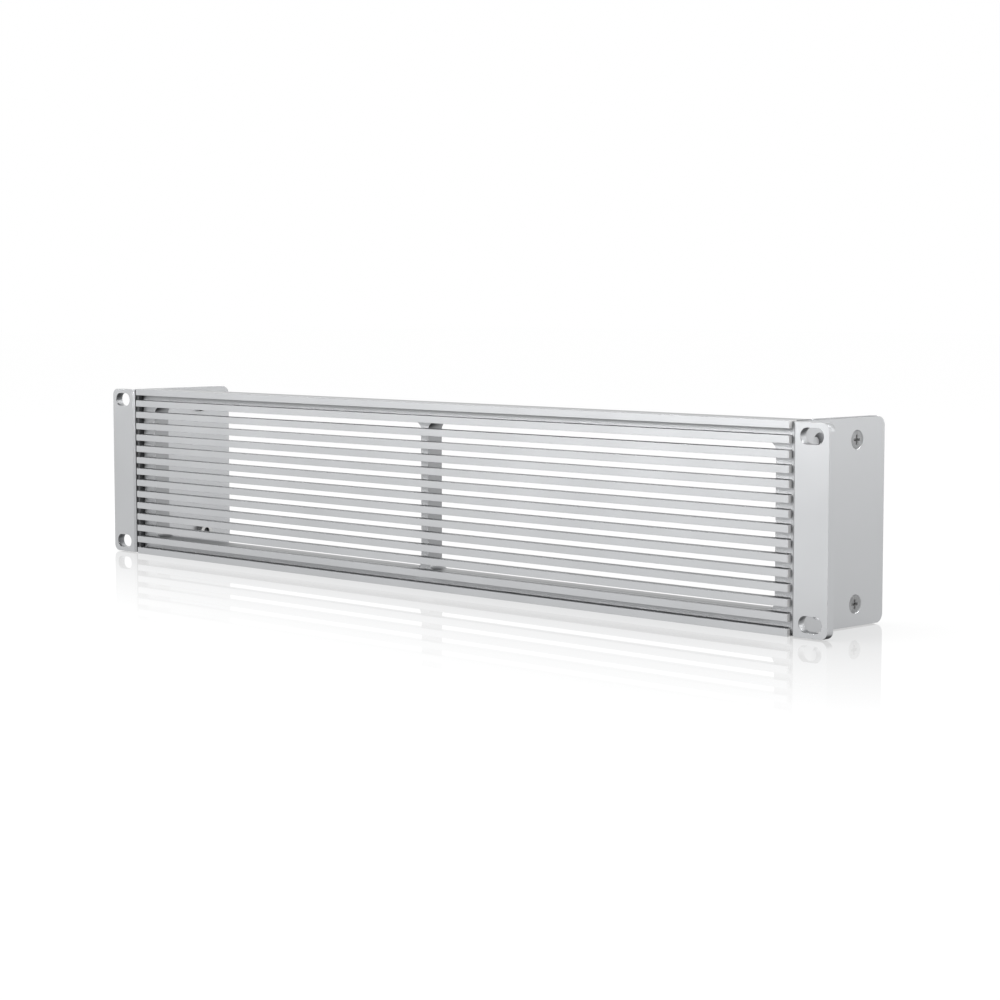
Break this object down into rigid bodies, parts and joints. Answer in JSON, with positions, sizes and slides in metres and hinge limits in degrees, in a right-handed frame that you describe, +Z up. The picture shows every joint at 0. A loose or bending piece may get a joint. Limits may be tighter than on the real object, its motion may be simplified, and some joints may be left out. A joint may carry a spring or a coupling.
{
  "type": "vented blanking panel",
  "caption": "Rack blanking panel: a grille of horizontal bars on a windowed frame, held by slotted L-shaped ears, fills an empty rack space and lets air through.",
  "frame": {"origin": "centre of the four rack slots, on the rear faces of the ears", "axes": "+X to the right as seen from the front, +Y to the rear, into the rack, +Z up"},
  "size_m": [0.4826, 0.0618, 0.0882],
  "materials": {
    "satin_aluminium": "fine bead-blasted, clear anodised",
    "screw_steel": "plated, satin",
    "nut_steel": "zinc plated"
  },
  "bodies": {
    "root": {"front_frame": "satin_aluminium", "left_ear_bracket": "satin_aluminium", "right_ear_bracket": "satin_aluminium", "slat_01": "satin_aluminium", "slat_02": "satin_aluminium", "slat_03": "satin_aluminium", "slat_04": "satin_aluminium", "slat_05": "satin_aluminium", "slat_06": "satin_aluminium", "slat_07": "satin_aluminium", "slat_08": "satin_aluminium", "slat_09": "satin_aluminium", "slat_10": "satin_aluminium", "slat_11": "satin_aluminium", "slat_12": "satin_aluminium", "slat_13": "satin_aluminium", "slat_14": "satin_aluminium", "slat_15": "satin_aluminium", "upper_left_screw": "screw_steel", "upper_left_clinch_nut": "nut_steel", "upper_right_screw": "screw_steel", "upper_right_clinch_nut": "nut_steel", "lower_left_screw": "screw_steel", "lower_left_clinch_nut": "nut_steel", "lower_right_screw": "screw_steel", "lower_right_clinch_nut": "nut_steel"}
  },
  "joints": []
}
